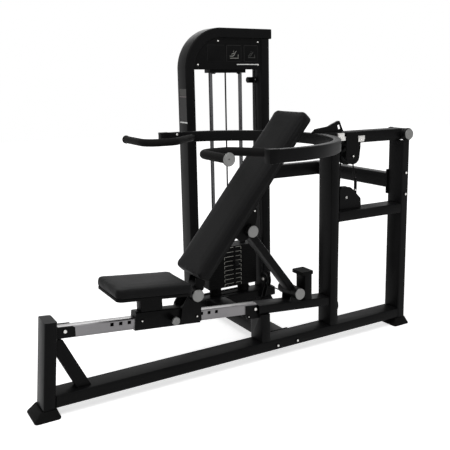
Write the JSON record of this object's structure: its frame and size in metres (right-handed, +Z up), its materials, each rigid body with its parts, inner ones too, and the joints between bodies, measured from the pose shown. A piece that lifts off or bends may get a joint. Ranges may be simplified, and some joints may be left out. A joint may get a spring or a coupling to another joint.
{
  "type": "chest and shoulder press machine",
  "caption": "Selectorised chest and shoulder press with a weight tower, yoke press arm and a sliding seat linked to an adjustable backrest.",
  "frame": {"origin": "centre of the outer box's footprint, at floor level", "axes": "+X to the rear of the machine, where the press arm pivots; +Y away from the viewer to the weight tower; +Z up"},
  "size_m": [2.2858, 1.488, 1.815],
  "materials": {
    "black_paint": "gloss powder coat",
    "satin_silver": "satin",
    "chrome_rod": "polished",
    "plate_steel": "painted",
    "black_rubber": "matt",
    "grip_foam": "matt",
    "black_plastic": "matt",
    "cable_black": "coated",
    "black_vinyl": "satin vinyl",
    "board_black": "painted"
  },
  "bodies": {
    "frame": {"base_rail": "black_paint", "front_post": "black_paint", "front_brace": "black_paint", "centre_post": "black_paint", "link_rail": "black_paint", "stop_cap": "black_rubber", "middle_post": "black_paint", "arm_rest_buffer": "black_rubber", "rear_post": "black_paint", "rear_mid_tube": "black_paint", "seat_rail": "satin_silver", "floor_cross_tube": "black_paint", "rear_cross_tube": "black_paint", "far_upper_tube": "black_paint", "front_foot_boot": "black_rubber", "rear_foot_boot": "black_rubber", "tower_base": "black_paint", "tower_frame": "black_paint", "tower_right_column": "black_paint", "tower_panel": "black_paint", "guide_rods": "chrome_rod", "stack_bumpers": "black_rubber", "lower_weight_plates": "plate_steel", "base_pivot_pin": "satin_silver", "arm_pivot_pin": "satin_silver", "guide_pulley_bracket": "black_paint", "cable_fixed_run": "cable_black", "cable_arm_loop": "cable_black", "cable_stack_run": "cable_black"},
    "seat_carriage": {"carriage_sleeve": "black_paint", "seat_pivot_pin": "satin_silver", "seat_post": "black_paint", "seat_board": "board_black", "seat_cushion": "black_vinyl"},
    "pop_pin_body": {"pop_pin": "satin_silver"},
    "backrest": {"backrest_spine": "black_paint", "backrest_board": "board_black", "backrest_cushion": "black_vinyl", "back_pivot_cap_near": "satin_silver", "back_pivot_cap_far": "satin_silver"},
    "link": {"link_arm": "black_paint"},
    "press_arm": {"arm_beam": "black_paint", "arm_yoke": "black_paint", "handle_near": "black_paint", "handle_far": "black_paint", "grip_near": "grip_foam", "grip_far": "grip_foam", "arm_pulley_cheeks": "black_paint", "arm_slide_bar": "satin_silver"},
    "lifted_stack": {"lifted_weight_plates": "plate_steel", "head_plate": "plate_steel", "selector_rod": "chrome_rod"},
    "pin": {"selector_pin": "black_plastic"},
    "stack_pulley": {"top_pulley_stack": "black_plastic"},
    "down_pulley": {"top_pulley_down": "black_plastic"},
    "tower_floor_pulley": {"floor_pulley_tower": "black_plastic"},
    "base_floor_pulley": {"floor_pulley_base": "black_plastic"},
    "guide_pulley_wheel": {"guide_pulley": "black_plastic"},
    "arm_pulley_wheel": {"arm_pulley": "black_plastic"}
  },
  "joints": [
    {"name": "seat_slide", "type": "slide", "parent": "frame", "child": "seat_carriage", "axis": [0.9963, 0, -0.0862], "range_m": [-0.16, 0.22]},
    {"name": "pop_pin_pull", "type": "slide", "parent": "seat_carriage", "child": "pop_pin_body", "axis": [0, -1, 0], "range_m": [0, 0.012], "stiffness_N_per_m": 900, "springref_m": -0.006},
    {"name": "backrest_tilt", "type": "hinge", "parent": "seat_carriage", "child": "backrest", "pos_m": [-0.31909, -0.138, 0.454], "axis": [0, -1, 0], "range_deg": [-14.2, 19.5]},
    {"name": "link_swing", "type": "hinge", "parent": "frame", "child": "link", "pos_m": [0.30291, -0.138, 0.347], "axis": [0, -1, 0], "range_deg": [-17.7, 13]},
    {"name": "press_arm_lift", "type": "hinge", "parent": "frame", "child": "press_arm", "pos_m": [1.09091, -0.138, 1.179], "axis": [0, 1, 0], "range_deg": [0, 25], "deforming": ["cable_arm_loop"]},
    {"name": "stack_lift", "type": "slide", "parent": "frame", "child": "lifted_stack", "axis": [0, 0, 1], "range_m": [0, 0.355], "deforming": ["cable_stack_run"]},
    {"name": "selector_pin_pull", "type": "slide", "parent": "lifted_stack", "child": "pin", "axis": [0, -1, 0], "range_m": [0, 0.1]},
    {"name": "stack_pulley_spin", "type": "hinge", "parent": "frame", "child": "stack_pulley", "pos_m": [0.40071, 0.662, 1.655], "axis": [0, 1, 0], "continuous": true},
    {"name": "down_pulley_spin", "type": "hinge", "parent": "frame", "child": "down_pulley", "pos_m": [0.53411, 0.662, 1.655], "axis": [0, 1, 0], "continuous": true},
    {"name": "tower_floor_pulley_spin", "type": "hinge", "parent": "frame", "child": "tower_floor_pulley", "pos_m": [0.57891, 0.555, 0.191], "axis": [1, 0, 0], "continuous": true},
    {"name": "base_floor_pulley_spin", "type": "hinge", "parent": "frame", "child": "base_floor_pulley", "pos_m": [0.63091, -0.0972, 0.191], "axis": [1, 0, 0], "continuous": true},
    {"name": "guide_pulley_spin", "type": "hinge", "parent": "frame", "child": "guide_pulley_wheel", "pos_m": [0.67591, -0.138, 0.836], "axis": [0, 1, 0], "continuous": true},
    {"name": "arm_pulley_spin", "type": "hinge", "parent": "press_arm", "child": "arm_pulley_wheel", "pos_m": [0.68791, -0.138, 1.076], "axis": [0, 1, 0], "continuous": true}
  ],
  "couplings": [
    {"joint": "backrest_tilt", "follows": "seat_slide", "rad_per_m": 1.5201},
    {"joint": "link_swing", "follows": "seat_slide", "rad_per_m": -1.3783},
    {"joint": "stack_lift", "follows": "press_arm_lift", "m_per_rad": 0.806},
    {"joint": "stack_pulley_spin", "follows": "press_arm_lift", "ratio": 19.755},
    {"joint": "down_pulley_spin", "follows": "press_arm_lift", "ratio": 19.755},
    {"joint": "tower_floor_pulley_spin", "follows": "press_arm_lift", "ratio": -19.755},
    {"joint": "base_floor_pulley_spin", "follows": "press_arm_lift", "ratio": -19.755},
    {"joint": "guide_pulley_spin", "follows": "press_arm_lift", "ratio": 19.755},
    {"joint": "arm_pulley_spin", "follows": "press_arm_lift", "ratio": 8.8775}
  ]
}
